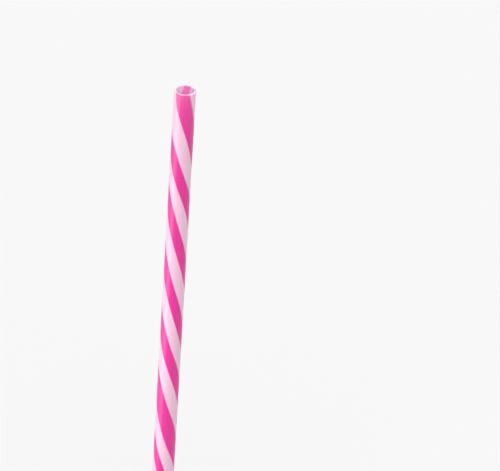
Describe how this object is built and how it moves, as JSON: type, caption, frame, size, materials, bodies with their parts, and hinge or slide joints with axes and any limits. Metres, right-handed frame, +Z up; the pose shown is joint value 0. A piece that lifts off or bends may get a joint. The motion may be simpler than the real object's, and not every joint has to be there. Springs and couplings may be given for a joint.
{
  "type": "striped drinking straw",
  "caption": "Straight reusable plastic drinking straw, an open tube whose wall is striped in white and magenta helices.",
  "frame": {"origin": "centre of the lower cut end, on the surface that the straw stands on", "axes": "+Z up along the straw's axis, towards the end that is drunk from"},
  "size_m": [0.007, 0.007, 0.23],
  "materials": {
    "straw_plastic": "gloss"
  },
  "bodies": {
    "root": {"straw": "straw_plastic"}
  },
  "joints": []
}
